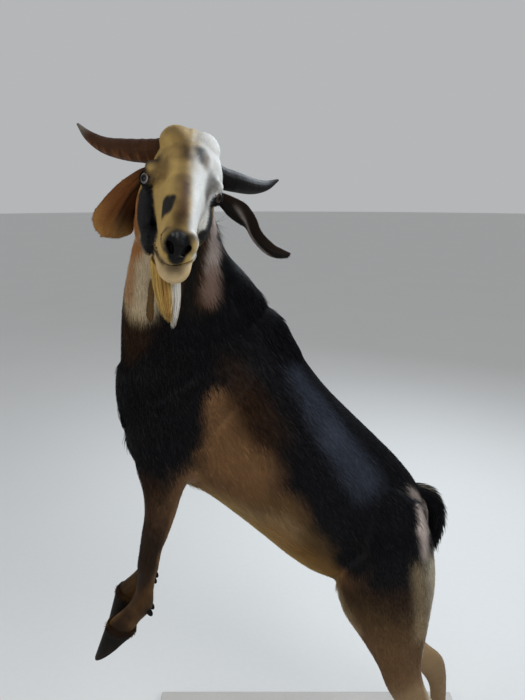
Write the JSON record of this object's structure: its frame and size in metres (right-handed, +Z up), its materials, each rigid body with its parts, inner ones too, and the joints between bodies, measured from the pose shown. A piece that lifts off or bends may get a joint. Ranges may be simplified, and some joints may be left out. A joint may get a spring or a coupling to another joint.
{
  "type": "billy goat",
  "caption": "A long-eared male goat reared up on its hind legs on a flat base, head turned to one side, with sideways horns, beard, wattles and a glossy dark and cream coat.",
  "frame": {"origin": "Middle of the underside of the base", "axes": "+Z up; the goat faces -X, its left side is towards -Y"},
  "size_m": [0.932, 0.6138, 1.5811],
  "materials": {
    "black_coat": "short glossy hair",
    "tan_coat": "short hair",
    "pale_coat": "short hair",
    "rusty_coat": "short hair",
    "horn": "ringed horn",
    "hoof": "smooth hoof horn",
    "eye": "wet gloss",
    "stand": "matt paint"
  },
  "bodies": {
    "root": {"ear_left": "black_coat", "ear_right": "rusty_coat", "eye_left": "eye", "eye_right": "eye", "foreleg_left": "tan_coat", "foreleg_right": "tan_coat", "head": "pale_coat", "hindleg_left": "tan_coat", "hindleg_right": "tan_coat", "hoof_fore_left_a": "hoof", "hoof_fore_left_b": "hoof", "hoof_fore_right_a": "hoof", "hoof_fore_right_b": "hoof", "hoof_hind_left_a": "hoof", "hoof_hind_left_b": "hoof", "hoof_hind_right_a": "hoof", "hoof_hind_right_b": "hoof", "horn_left": "horn", "horn_right": "horn", "neck": "pale_coat", "scrotum": "tan_coat", "stand_base": "stand", "tail": "black_coat", "torso": "black_coat", "wattle_left": "pale_coat", "wattle_right": "tan_coat"}
  },
  "joints": []
}
